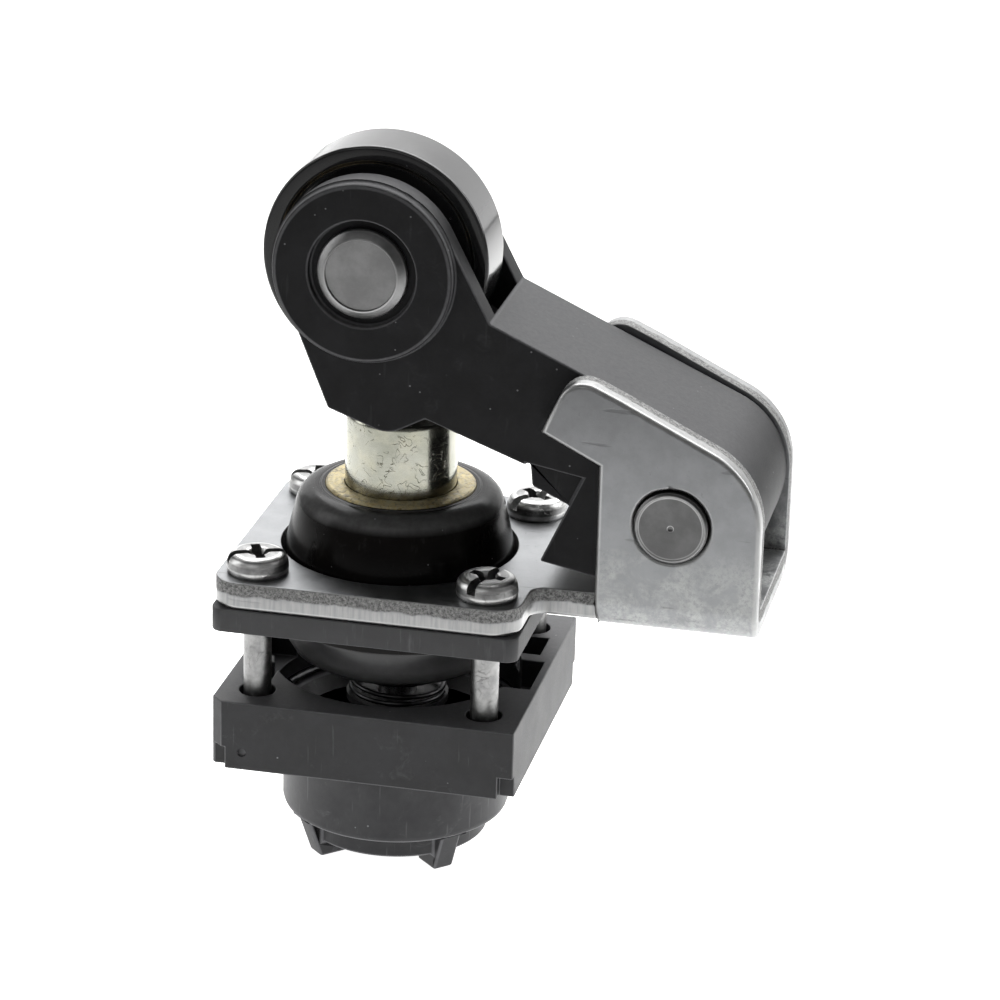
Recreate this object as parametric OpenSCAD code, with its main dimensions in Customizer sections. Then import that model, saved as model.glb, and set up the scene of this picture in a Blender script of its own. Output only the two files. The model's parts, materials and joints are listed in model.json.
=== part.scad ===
// Roller lever head of a compact limit switch.
// Millimetres, +Z up. The origin is on the plunger's axis, in the underside of the base block,
// where the head sits on a switch body. The lever's pivot is on the +X side.

/* [Plate and bracket] */
// Side of the square mounting plate
plate_size = 30; // [28:0.5:36]
// Thickness of the bent steel sheet
sheet_t = 2.8; // [2:0.1:3.4]
// Corner radius of the plate
plate_corner_r = 2.7; // [0.5:0.1:3]
// Width of the lever bearing, which is also the gap between the cheeks less the play
lever_w = 15.2; // [14:0.1:18]
// Play between the lever and each cheek
lever_play = 0.3; // [0.15:0.05:0.6]
// Distance of the pivot from the plate's edge
pivot_reach = 13.5; // [12:0.5:20]
// Height of the pivot above the plate
pivot_h = 8.5; // [7.5:0.1:11]
// Diameter of the pivot pin
pivot_d = 7; // [5:0.1:8]
// Radius of the cheeks' round end
cheek_r = 8.4; // [7.5:0.1:10]
// Inner bend radius of the sheet
bend_r = 0.4; // [0.2:0.1:0.5]

/* [Cover screws] */
// Distance of each screw from the plate's edges
screw_inset = 3.75; // [3.4:0.05:4.5]
// Shank diameter
screw_d = 2.7; // [2.4:0.1:3]
// Head diameter
screw_head_d = 6; // [5:0.1:6.4]
// Head height
screw_head_h = 2.1; // [1.6:0.1:2.6]
// Length under the head
screw_length = 18.4; // [16:0.1:20]

/* [Gasket and base block] */
// Thickness of the gasket
gasket_t = 2.4; // [1.5:0.1:3]
// Open gap over the block while the screws are loose
open_gap = 7.2; // [4:0.1:8]
// Height of the base block
block_h = 7; // [6:0.1:9]
// Width of the relief at each lower corner of the block
corner_relief_w = 1.5; // [0.5:0.1:2]
// Height of that relief
corner_relief_h = 2.2; // [1:0.1:3]

/* [Collar, bush and cup] */
// Diameter of the collar where it meets the plate
collar_d = 22.4; // [18:0.1:22.8]
// Height of the collar above the plate
collar_h = 6.1; // [5:0.1:8]
// Diameter of the collar's flat top
collar_top_d = 16.3; // [15:0.1:17]
// Outer diameter of the guide bush
bush_d = 14.7; // [13:0.1:15]
// Height of the seal under the bush
seal_t = 1.8; // [1:0.1:2.4]
// Depth of the cup below the gasket
cup_depth = 6.6; // [6:0.1:7]
// Wall of the cup
cup_wall = 1.2; // [0.8:0.1:2]
// Radius of the cup's rounded lower edge
cup_round_r = 2.6; // [1:0.1:3]

/* [Plunger] */
// Diameter of the plunger
plunger_d = 10.9; // [8:0.1:12]
// Height of the plunger's top above the plate
plunger_h = 13.9; // [13:0.1:16]
// Diameter of the stem inside the plunger
stem_d = 3.8; // [3:0.1:4.4]
// Wire of the return spring
return_wire_d = 0.9; // [0.6:0.1:1]
// Wire of the overtravel spring
overtravel_wire_d = 0.5; // [0.4:0.05:0.6]
// Mean diameter of the overtravel spring
overtravel_coil_d = 9.2; // [8:0.1:9.6]
// Travel of the pusher against its spring
overtravel = 1; // [0.5:0.1:1.2]

/* [Lever and roller] */
// Diameter of the roller
roller_d = 22; // [16:0.5:24]
// Width of the roller's tread
roller_w = 6.8; // [5:0.1:8]
// Place of the roller's axis along X
roller_x = -2.1; // [-6:0.1:2]
// Height of the roller's axis above the plate
roller_h = 29.65; // [28:0.1:34]
// Width of the slot for the roller
fork_slot_w = 10.1; // [9:0.1:11]
// Clearance round the roller in its slot
roller_clearance = 0.6; // [0.4:0.1:1]
// Diameter of the round boss on each side of the fork
boss_d = 17.5; // [14:0.1:19]
// How far each boss stands proud of the lever's side
boss_proud = 1; // [0.5:0.1:1.6]
// Diameter of the roller's axle
axle_d = 5; // [4:0.1:6]
// Diameter of the axle's riveted heads
axle_head_d = 8.8; // [7:0.1:9.4]
// Angle that the lever turns before it stops on the plate
lever_travel = 11; // [8:0.5:12]

/* [Spigot] */
// Outer diameter of the locating spigot
spigot_d = 22.6; // [18:0.1:22.8]
// Length of the plain spigot below the block
spigot_length = 7.3; // [5:0.1:9]
// Wall of the spigot
spigot_wall = 1.7; // [1.2:0.1:2.2]
// Diameter of the lower ring
ring_d = 18.4; // [15:0.1:19]
// Length of the lower ring
ring_length = 2.5; // [1.5:0.1:4]
// Diameter of the bore through the lower ring
ring_bore_d = 12.4; // [12:0.1:14]
// Length of the dogs below the spigot
dog_length = 4.2; // [3:0.1:5]

/* [Hidden] */
$fn = 96;
run_fit = 0.05;       // radial play of a shaft in its bush
free_fit = 0.4;       // radial room where nothing guides
screw_room = 0.4;     // radial room round a screw

// Heights, from the seat upwards
gasket_z = block_h + open_gap;
plate_z = gasket_z + gasket_t;
top_z = plate_z + sheet_t;
collar_top_z = top_z + collar_h;
plunger_top_z = top_z + plunger_h;
cup_z = gasket_z - cup_depth;
cup_floor_z = cup_z + cup_wall;

// Plan sizes
screw_xy = plate_size / 2 - screw_inset;
collar_r = collar_d / 2;
plate_hole_r = collar_r + free_fit;
flange_r = collar_r + 0.6;
flange_t = 2;
cup_r = collar_r + 0.2;
opening_r = flange_r + free_fit;
plunger_r = plunger_d / 2;
bush_r = bush_d / 2;
stem_r = stem_d / 2;

// Bracket
cheek_in = lever_w / 2 + lever_play;
cheek_out = cheek_in + sheet_t;
bend_z = top_z + bend_r;
pivot_x = plate_size / 2 + pivot_reach;
pivot_z = top_z + pivot_h;
cheek_back = 7.1;                 // from the pivot to the cheeks' rear edge
web_x = pivot_x - cheek_back;
pin_head_t = 0.5;
pin_chamfer = 0.35;

// Plunger, its retaining ring and the stroke that the lever gives it
stop_ring_t = 0.8;
stop_ring_r = plunger_r + 1.6;
stop_ring_up = 0.5;               // from the plunger's lower end to the ring
cavity_r = collar_r - 2.6;
plunger_floor_gap = 0.3;
nose_r = 3;
nose_x = 0.2;
nose_gap = 0.05;
nose_z = plunger_top_z + nose_gap + nose_r;
plunger_stroke = (pivot_x - nose_x) * sin(lever_travel)
    + (nose_z - pivot_z) * (1 - cos(lever_travel));
plunger_bottom_z = cup_floor_z + plunger_stroke + plunger_floor_gap;
cavity_top_z = plunger_bottom_z + stop_ring_up + stop_ring_t + 0.45;
seal_z = cavity_top_z + 1.3;
bush_z = seal_z + seal_t;
plunger_bore_r = plunger_r - 1.25;
plunger_crown_t = 4;
crown_z = plunger_top_z - plunger_crown_t;
stem_seat = 2;

// Pusher train under the cup
seat_t = 0.6;
seat_gap = 0.3;
seat_r = overtravel_coil_d / 2 + overtravel_wire_d / 2 + 0.2;
seat_z = cup_z - seat_gap - seat_t;
overtravel_turns = 3;
overtravel_free = (overtravel_turns + 1) * overtravel_wire_d + overtravel + 0.1;
pusher_flange_z = seat_z - overtravel_free;
pusher_flange_t = 0.7;
pusher_r = 3.6;
clip_t = 0.6;
stem_head_r = stem_r + 0.7;
stem_head_t = 0.8;
pusher_bore_r = stem_head_r + 0.1;
stem_head_z = pusher_flange_z - clip_t - 0.1 - stem_head_t;
pusher_cavity_z = stem_head_z - overtravel - 0.1;
pusher_z = pusher_cavity_z - 1.2;

// Lever: a frame at the pivot, "along" towards the roller and "above" square to it
roller_z = top_z + roller_h;
roller_r = roller_d / 2;
fork_offset = 6.75;
reach_x = pivot_x - roller_x;
reach_z = roller_z - pivot_z;
reach = sqrt(reach_x * reach_x + reach_z * reach_z);
arm_tilt = atan2(reach_z, reach_x) - asin(fork_offset / reach);
along = [-cos(arm_tilt), sin(arm_tilt)];
above = [sin(arm_tilt), cos(arm_tilt)];
function arm_point(a, b) = [pivot_x, pivot_z] + a * along + b * above;
roller_along = sqrt(reach * reach - fork_offset * fork_offset);
slot_r = roller_r + roller_clearance;
fork_along = roller_along - roller_r - 1.75;
stop_gap = 0.1;                   // left under the tail when the lever is fully down
hub_r = pivot_h - 0.4;            // round end, clear of the web at every angle
tail_along = 9.4;
stop_r = pivot_h - stop_gap;
stop_foot = [pivot_x - stop_r * sin(lever_travel), pivot_z - stop_r * cos(lever_travel)];
// Length of the stop flat, which ends where the tail does
tail_run = (tail_along - stop_r * sin(lever_travel - arm_tilt)) / cos(lever_travel - arm_tilt);
tail_corner = stop_foot + tail_run * [-cos(lever_travel), sin(lever_travel)];
stop_tangent = -90 - lever_travel + acos(hub_r / stop_r);
lever_bush_r = pivot_d / 2 + 1.2;
prong_r = boss_d / 2 + 0.15;
recess_r = axle_head_d / 2 + 0.8;
recess_t = 0.9;
washer_t = 0.5;
axle_end = lever_w / 2 + boss_proud + 0.5;
roller_bush_r = axle_d / 2 + 2.1;
roller_bush_w = fork_slot_w - 2 * washer_t - 0.2;

// Base: the spigot's flange on the block's lip, with the snap ring over it
lip_t = 0.9;
spigot_flange_t = 0.6;
snap_d = 0.7;
snap_z = lip_t + spigot_flange_t + snap_d / 2;
snap_r = opening_r - 0.15;
root_relief = 0.3;                // under the block round the spigot, for the body's mouth
root_r = spigot_d / 2 + 0.65;

// ---------- shared shapes ----------

// Ring between two radii
module tube(outer_r, inner_r, z, h) {
    translate([0, 0, z])
        difference() {
            cylinder(h = h, r = outer_r);
            translate([0, 0, -1]) cylinder(h = h + 2, r = inner_r);
        }
}

// Copies at the four screw places
module at_screws() {
    for (x = [-1, 1], y = [-1, 1])
        translate([x * screw_xy, y * screw_xy, 0]) children();
}

// Square with round corners
module rounded_square(side, r) {
    inner = side / 2 - r;
    square([side, 2 * inner], center = true);
    square([2 * inner, side], center = true);
    for (x = [-inner, inner], y = [-inner, inner]) translate([x, y]) circle(r = r);
}

// Extrudes an outline drawn in X and Z to a width centred on Y
module across(w, y = 0) {
    translate([0, y + w / 2, 0]) rotate([90, 0, 0]) linear_extrude(w) children();
}

// Shaft along Y, centred on Y, with chamfered ends
module cross_shaft(r, half_w, chamfer) {
    rotate([90, 0, 0])
        rotate_extrude()
            polygon([[0, -half_w], [r - chamfer, -half_w], [r, -half_w + chamfer],
                [r, half_w - chamfer], [r - chamfer, half_w], [0, half_w]]);
}

// Points of an arc about a centre
function arc(c, r, from, to, n = 12) =
    [for (i = [0:n]) let (t = from + (to - from) * i / n) c + r * [cos(t), sin(t)]];

// Wire swept along a helix with closed ends: radius, wire, foot, height and turns
module coil_spring(r, wire_d, z, h, turns) {
    sides = 8;
    steps = 20;
    count = turns * steps;
    rise = h - wire_d;
    // The first and last turn are closed: they rise by little more than the wire
    closed = 1.05 * wire_d;
    pitch = (rise - 2 * closed) / (turns - 2);
    function lift(t) = t < 1 ? t * closed : t > turns - 1 ? rise - (turns - t) * closed
        : closed + (t - 1) * pitch;
    points = [for (i = [0:count], k = [0:sides - 1])
        let (turn = 360 * i / steps, q = 360 * k / sides, rr = r + wire_d / 2 * cos(q))
        [rr * cos(turn), rr * sin(turn), z + wire_d / 2 * (1 + sin(q)) + lift(i / steps)]];
    sides_faces = [for (i = [0:count - 1], k = [0:sides - 1])
        let (a = i * sides + k, b = i * sides + (k + 1) % sides) [a, b, b + sides, a + sides]];
    first = [for (k = [sides - 1:-1:0]) k];
    last = [for (k = [0:sides - 1]) count * sides + k];
    polyhedron(points = points, faces = concat(sides_faces, [first, last]), convexity = 10);
}

// ---------- base ----------

module base_block() {
    pocket_w = 2.4;
    color([0.16, 0.16, 0.17])
    difference() {
        translate([-plate_size / 2, -plate_size / 2, 0]) cube([plate_size, plate_size, block_h]);
        // Opening that takes the cup, over a lip that carries the spigot's flange
        translate([0, 0, lip_t]) cylinder(h = block_h, r = opening_r);
        translate([0, 0, -1]) cylinder(h = block_h, r = spigot_d / 2 + 0.1);
        translate([0, 0, -1]) cylinder(h = 1 + root_relief, r = root_r);
        // Groove of the snap ring
        tube(snap_r + snap_d / 2 + 0.05, opening_r - 1, snap_z - snap_d / 2 - 0.05, snap_d + 0.1);
        at_screws() translate([0, 0, -1]) cylinder(h = block_h + 2, r = screw_d / 2 + screw_room, $fn = 48);
        // Pockets in the two side rims
        for (s = [0, 180]) rotate([0, 0, s]) {
            translate([opening_r - 1.6, -4.2, block_h - 3]) cube([pocket_w + 1.2, 7, 4]);
            translate([opening_r - 1.6, 4.5, block_h - 2.2]) cube([pocket_w + 0.4, 4.4, 4]);
        }
        // Relief at the lower corners
        for (x = [-1, 1], y = [-1, 1])
            translate([x * plate_size / 2, y * plate_size / 2, 0])
                cube([2 * corner_relief_w, 1.8, 2 * corner_relief_h], center = true);
        // Keying chamfer on one upright edge
        translate([-plate_size / 2, -plate_size / 2, -1])
            rotate([0, 0, 45]) cube([1.6, 1.6, 2 * block_h + 4], center = true);
    }
}

module locating_spigot() {
    r = spigot_d / 2;
    bore_r = r - spigot_wall;
    edge = 0.7;
    dog_w = 2.2;
    neck_in = 0.25;               // how much slimmer the spigot is inside the block's lip
    top = lip_t + spigot_flange_t;
    color([0.22, 0.22, 0.23])
    difference() {
        union() {
            rotate_extrude()
                polygon([[0, top], [opening_r - 0.1, top], [opening_r - 0.1, lip_t], [r - neck_in, lip_t],
                    [r - neck_in, 0], [r, 0], [r, -spigot_length], [r - 0.2, -spigot_length - edge],
                    [ring_d / 2, -spigot_length - edge], [ring_d / 2, -spigot_length - edge - ring_length],
                    [0, -spigot_length - edge - ring_length]]);
            // Four dogs that turn the contact block's drum
            for (a = [45:90:315]) rotate([0, 0, a])
                across(dog_w)
                    polygon([[0, -spigot_length], [r - 0.6, -spigot_length - edge],
                        [ring_d / 2, -spigot_length - edge - dog_length],
                        [0, -spigot_length - edge - dog_length]]);
        }
        // Mouth, upper hollow and lower bore
        rotate_extrude()
            polygon([[0, top + 1], [r + 0.6, top + 1], [r - 0.1, top], [bore_r, top - 2.1],
                [bore_r, -spigot_length + 0.5], [ring_bore_d / 2, -spigot_length + 0.5],
                [ring_bore_d / 2, -spigot_length - 10], [0, -spigot_length - 10]]);
    }
}

module spigot_snap_ring() {
    gap_angle = 24;
    color([0.7, 0.7, 0.72])
    rotate([0, 0, 180 + gap_angle / 2])
        rotate_extrude(angle = 360 - gap_angle) translate([snap_r, snap_z]) circle(r = snap_d / 2, $fn = 24);
}

// ---------- head ----------

// Side view of a cheek: rear edge, horn, sloped top, round end
module cheek_outline() {
    horn_along = 14.9;
    horn_low = 2.1;
    horn_r = 2.6;
    corner = arm_point(horn_along - horn_r, cheek_r + 0.3 - horn_r);
    low = arm_point(8.8, horn_low);
    polygon(concat(
        [[pivot_x + cheek_r, bend_z], [web_x, bend_z], [web_x, low[1] - 0.3], arm_point(horn_along, horn_low)],
        arc(corner, horn_r, 180 - arm_tilt, 90 - arm_tilt, 8),
        [arm_point(horn_along - 5.4, cheek_r + 0.3)],
        arc([pivot_x, pivot_z], cheek_r, 90 - arm_tilt, 0, 16)));
}

module mounting_bracket() {
    neck_w = 2 * cheek_in + 0.2;
    neck_fillet = 1.5;
    color([0.72, 0.73, 0.74])
    difference() {
        union() {
            // Plate, neck and web
            translate([0, 0, plate_z]) linear_extrude(sheet_t) {
                rounded_square(plate_size, plate_corner_r);
                translate([0, -neck_w / 2]) square([web_x, neck_w]);
                translate([web_x, -cheek_in + bend_r]) square([pivot_x + cheek_r - web_x, 2 * (cheek_in - bend_r)]);
                for (s = [0, 1]) mirror([0, s]) translate([plate_size / 2, neck_w / 2]) difference() {
                    translate([-0.5, -0.5]) square(neck_fillet + 0.5);
                    translate([neck_fillet, neck_fillet]) circle(r = neck_fillet);
                }
            }
            for (s = [-1, 1]) {
                // Bend between the web and a cheek
                intersection() {
                    translate([web_x, s * (cheek_in - bend_r), bend_z]) rotate([0, 90, 0])
                        difference() {
                            cylinder(h = pivot_x + cheek_r - web_x, r = bend_r + sheet_t);
                            translate([0, 0, -1]) cylinder(h = pivot_x + cheek_r - web_x + 2, r = bend_r);
                        }
                    translate([web_x - 1, s > 0 ? cheek_in - bend_r : -cheek_out - 1, plate_z - 1])
                        cube([pivot_x + cheek_r - web_x + 2, sheet_t + bend_r + 1, sheet_t + bend_r + 1]);
                }
                across(sheet_t, s * (cheek_in + sheet_t / 2)) cheek_outline();
            }
        }
        translate([0, 0, plate_z - 1]) cylinder(h = sheet_t + 2, r = plate_hole_r);
        at_screws() translate([0, 0, plate_z - 1]) cylinder(h = sheet_t + 2, r = screw_d / 2 + screw_room, $fn = 48);
        translate([pivot_x, 0, pivot_z]) rotate([90, 0, 0])
            cylinder(h = 2 * cheek_out + 2, r = pivot_d / 2 + run_fit, center = true);
    }
}

module plate_gasket() {
    color([0.1, 0.1, 0.11])
    translate([0, 0, gasket_z]) linear_extrude(gasket_t)
        difference() {
            rounded_square(plate_size, 1.2);
            circle(r = plate_hole_r);
            at_screws() circle(r = screw_d / 2 + 0.3, $fn = 48);
        }
}

module guide_collar() {
    shoulder_r = 1.8;
    top_r = collar_top_d / 2;
    slot_w = 1;
    color([0.08, 0.08, 0.09])
    difference() {
        rotate_extrude()
            polygon(concat(
                [[bush_r, seal_z], [bush_r, collar_top_z]],
                arc([top_r, collar_top_z - shoulder_r], shoulder_r, 90, 12, 10),
                [[collar_r - 0.1, top_z + 0.9], [collar_r, top_z], [collar_r, gasket_z],
                    [flange_r, gasket_z], [flange_r, gasket_z - flange_t], [cavity_r, gasket_z - flange_t],
                    [cavity_r, cavity_top_z], [plunger_r + 0.5, cavity_top_z], [plunger_r + 0.5, seal_z]]));
        // Upright notches in the flange, in groups a third of a turn apart
        for (group = [0, 120, 240], a = [-18:12:18]) rotate([0, 0, 222 + group + a])
            translate([flange_r - 0.9, -slot_w / 2, gasket_z - flange_t - 1]) cube([2, slot_w, flange_t]);
    }
}

module guide_bush() {
    color([0.76, 0.66, 0.42])
    rotate_extrude()
        polygon([[plunger_r + run_fit, bush_z], [bush_r, bush_z],
            [bush_r, collar_top_z + 0.1], [bush_r - 0.3, collar_top_z + 0.3],
            [plunger_r + run_fit + 0.4, collar_top_z + 0.3], [plunger_r + run_fit, collar_top_z - 0.1]]);
}

module plunger_seal() {
    color([0.12, 0.12, 0.12])
    tube(bush_r, plunger_r + run_fit, seal_z, seal_t);
}

module guide_cup() {
    top = gasket_z - flange_t;
    color([0.11, 0.11, 0.12])
    rotate_extrude()
        polygon(concat(
            [[stem_r + 0.1, cup_z], [cup_r - cup_round_r, cup_z]],
            arc([cup_r - cup_round_r, cup_z + cup_round_r], cup_round_r, -90, 0, 8),
            [[cup_r, top], [cavity_r, top], [cavity_r, cup_floor_z], [stem_r + 0.1, cup_floor_z]]));
}

module return_spring() {
    mean_r = (plunger_bore_r + stem_r) / 2;
    color([0.75, 0.75, 0.77])
        coil_spring(mean_r, return_wire_d, cup_floor_z, crown_z - cup_floor_z, 9);
}

module cover_screws() {
    turns = [25, 70, 50, 10];
    places = [[-1, -1], [1, -1], [1, 1], [-1, 1]];
    for (i = [0:3])
        translate([places[i][0] * screw_xy, places[i][1] * screw_xy, 0]) rotate([0, 0, turns[i]]) cover_screw();
}

// Cheese head with a slot and a cross
module cover_screw() {
    r = screw_head_d / 2;
    slot_w = 0.9;
    slot_depth = 1.1;
    dome = 0.35;
    color([0.7, 0.7, 0.7])
    difference() {
        rotate_extrude($fn = 64)
            polygon([[0, top_z - screw_length], [screw_d / 2 - 0.4, top_z - screw_length],
                [screw_d / 2, top_z - screw_length + 0.5], [screw_d / 2, top_z], [r - 0.1, top_z],
                [r, top_z + 0.2], [r - 0.1, top_z + screw_head_h - dome - 0.2],
                [r - 0.5, top_z + screw_head_h - dome], [0, top_z + screw_head_h]]);
        translate([-r - 1, -slot_w / 2, top_z + screw_head_h - slot_depth]) cube([2 * r + 2, slot_w, 2]);
        translate([-slot_w / 2, -r * 0.6, top_z + screw_head_h - slot_depth - 0.3]) cube([slot_w, r * 1.2, 2]);
    }
}

module pivot_pin() {
    color([0.4, 0.4, 0.41])
    translate([pivot_x, 0, pivot_z]) cross_shaft(pivot_d / 2, cheek_out + pin_head_t, pin_chamfer);
}

// ---------- lever ----------

// Side view of the lever: fork, arm, tail with its stop flat, and the nose on the plunger
module lever_outline() {
    nose_left = [nose_x, nose_z] + nose_r * [-sin(20), -cos(20)];
    foot_left = [nose_x - 5.7, plunger_top_z + 1.9];
    foot_right = [nose_x + 3.85, plunger_top_z + 1.7];
    axle = [roller_x, roller_z];
    fork_corner = arm_point(fork_along, hub_r);
    // The fork's edge runs from its corner as a tangent to the round end
    to_corner = fork_corner - axle;
    edge_angle = atan2(to_corner[1], to_corner[0]) + acos(prong_r / norm(to_corner));
    prong_left = axle + prong_r * [cos(222), sin(222)];
    prong_right = axle + prong_r * [cos(edge_angle), sin(edge_angle)];
    polygon(concat(
        [fork_corner, arm_point(0, hub_r), [pivot_x, pivot_z],
            [pivot_x, pivot_z] + hub_r * [cos(stop_tangent), sin(stop_tangent)], stop_foot, tail_corner,
            arm_point(tail_along, -4.7), arm_point(13.4, -4.7), arm_point(14.5, -2.8), foot_right],
        arc([nose_x, nose_z], nose_r, -62, -110, 6),
        [foot_left, prong_left, axle, prong_right]));
    translate([pivot_x, pivot_z]) circle(r = hub_r);
    translate(axle) circle(r = prong_r);
}

module lever_arm() {
    web_recess = 0.8;
    color([0.13, 0.13, 0.14])
    difference() {
        union() {
            across(lever_w) lever_outline();
            translate([roller_x, 0, roller_z]) cross_shaft(boss_d / 2, lever_w / 2 + boss_proud, 0.3);
        }
        // Slot for the roller
        across(fork_slot_w) {
            translate([roller_x, roller_z]) circle(r = slot_r);
            polygon([[roller_x, roller_z], arm_point(fork_along, hub_r - 3.5), arm_point(fork_along, hub_r + 4)]);
        }
        // Axle bore and the recesses round its heads
        translate([roller_x, 0, roller_z]) rotate([90, 0, 0]) {
            cylinder(h = lever_w + 4, r = axle_d / 2, center = true);
            for (s = [-1, 1]) translate([0, 0, s * (lever_w / 2 + boss_proud - recess_t / 2 + 0.5)])
                cylinder(h = recess_t + 1, r = recess_r, center = true);
        }
        // Bore of the lever's bearing
        translate([pivot_x, 0, pivot_z]) rotate([90, 0, 0]) cylinder(h = lever_w + 2, r = lever_bush_r, center = true);
        // Shallow recess on each side of the web in front of the tail
        for (s = [-1, 1]) across(2 * web_recess, s * lever_w / 2)
            polygon([arm_point(tail_along, -5.7), arm_point(14, -5.7), arm_point(14.9, -2.6),
                arm_point(tail_along, -1.2)]);
    }
}

module lever_bush() {
    color([0.75, 0.62, 0.38])
    translate([pivot_x, lever_w / 2, pivot_z]) rotate([90, 0, 0])
        tube(lever_bush_r, pivot_d / 2 + run_fit, 0, lever_w);
}

module roller_axle() {
    head_in = lever_w / 2 + boss_proud - recess_t;
    color([0.4, 0.4, 0.41])
    translate([roller_x, 0, roller_z]) {
        cross_shaft(axle_d / 2, head_in + 0.2, 0.05);
        for (s = [-1, 1]) rotate([s * -90, 0, 0]) translate([0, 0, head_in])
            rotate_extrude()
                polygon([[0, 0], [axle_head_d / 2, 0], [axle_head_d / 2, 0.7],
                    [axle_head_d / 2 - 1, axle_end - head_in], [0, axle_end - head_in]]);
    }
}

module thrust_washers() {
    color([0.66, 0.6, 0.46])
    translate([roller_x, 0, roller_z]) rotate([90, 0, 0])
        for (s = [-1, 1])
            tube(roller_bush_r - 0.2, axle_d / 2, s > 0 ? fork_slot_w / 2 - washer_t : -fork_slot_w / 2, washer_t);
}

// ---------- roller ----------

module roller() {
    half = roller_w / 2;
    edge = 0.6;
    dish = 0.5;
    color([0.06, 0.06, 0.07])
    translate([roller_x, 0, roller_z]) rotate([90, 0, 0])
        rotate_extrude($fn = 128)
            polygon(concat(
                [[roller_bush_r, -half], [roller_bush_r + 1.2, -half], [roller_bush_r + 1.6, -half + dish],
                    [roller_r - 1.8, -half + dish], [roller_r - 1.4, -half]],
                arc([roller_r - edge, -half + edge], edge, -90, 0, 4),
                arc([roller_r - edge, half - edge], edge, 0, 90, 4),
                [[roller_r - 1.4, half], [roller_r - 1.8, half - dish], [roller_bush_r + 1.6, half - dish],
                    [roller_bush_r + 1.2, half], [roller_bush_r, half]]));
}

module roller_bush() {
    color([0.75, 0.62, 0.38])
    translate([roller_x, roller_bush_w / 2, roller_z]) rotate([90, 0, 0])
        tube(roller_bush_r, axle_d / 2 + run_fit, 0, roller_bush_w);
}

// ---------- plunger ----------

module plunger() {
    groove_z = plunger_bottom_z + stop_ring_up;
    edge = 0.5;
    color([0.82, 0.82, 0.8])
    rotate_extrude()
        polygon([[plunger_bore_r, plunger_bottom_z], [plunger_r, plunger_bottom_z], [plunger_r, groove_z],
            [plunger_r - 0.6, groove_z], [plunger_r - 0.6, groove_z + stop_ring_t],
            [plunger_r, groove_z + stop_ring_t], [plunger_r, plunger_top_z - edge],
            [plunger_r - edge, plunger_top_z], [0, plunger_top_z], [0, crown_z + stem_seat],
            [stem_r, crown_z + stem_seat], [stem_r, crown_z], [plunger_bore_r, crown_z]]);
}

module plunger_stem() {
    color([0.7, 0.7, 0.72])
    rotate_extrude($fn = 48)
        polygon([[0, stem_head_z], [stem_head_r, stem_head_z], [stem_head_r, stem_head_z + stem_head_t],
            [stem_r, stem_head_z + stem_head_t], [stem_r, crown_z + stem_seat], [0, crown_z + stem_seat]]);
}

module stop_ring() {
    color([0.5, 0.5, 0.52])
    tube(stop_ring_r, plunger_r - 0.6, plunger_bottom_z + stop_ring_up, stop_ring_t);
}

module spring_seat() {
    color([0.72, 0.72, 0.74])
    tube(seat_r, stem_r, seat_z, seat_t);
}

module overtravel_spring() {
    color([0.75, 0.75, 0.77])
        coil_spring(overtravel_coil_d / 2, overtravel_wire_d, pusher_flange_z, overtravel_free, overtravel_turns);
}

module pusher() {
    color([0.85, 0.83, 0.78])
    rotate_extrude($fn = 64)
        polygon([[0, pusher_z], [pusher_r - 0.6, pusher_z], [pusher_r, pusher_z + 0.6],
            [pusher_r, pusher_flange_z - pusher_flange_t], [seat_r, pusher_flange_z - pusher_flange_t],
            [seat_r, pusher_flange_z], [pusher_bore_r, pusher_flange_z], [pusher_bore_r, pusher_cavity_z],
            [0, pusher_cavity_z]]);
}

module pusher_clip() {
    color([0.6, 0.6, 0.62])
    tube(pusher_bore_r, stem_r + run_fit, pusher_flange_z - clip_t, clip_t);
}

base_block();
locating_spigot();
spigot_snap_ring();
mounting_bracket();
plate_gasket();
guide_collar();
guide_bush();
plunger_seal();
guide_cup();
return_spring();
cover_screws();
pivot_pin();
lever_arm();
lever_bush();
roller_axle();
thrust_washers();
roller();
roller_bush();
plunger();
plunger_stem();
stop_ring();
spring_seat();
overtravel_spring();
pusher();
pusher_clip();
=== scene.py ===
"""Visual model of a roller lever switch head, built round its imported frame."""
import functools
import json
import logging
import math
from dataclasses import dataclass, field
from enum import Enum
from typing import Callable, ClassVar
import bmesh
import bpy
import numpy as np
from mathutils import Matrix, Vector, noise


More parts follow.
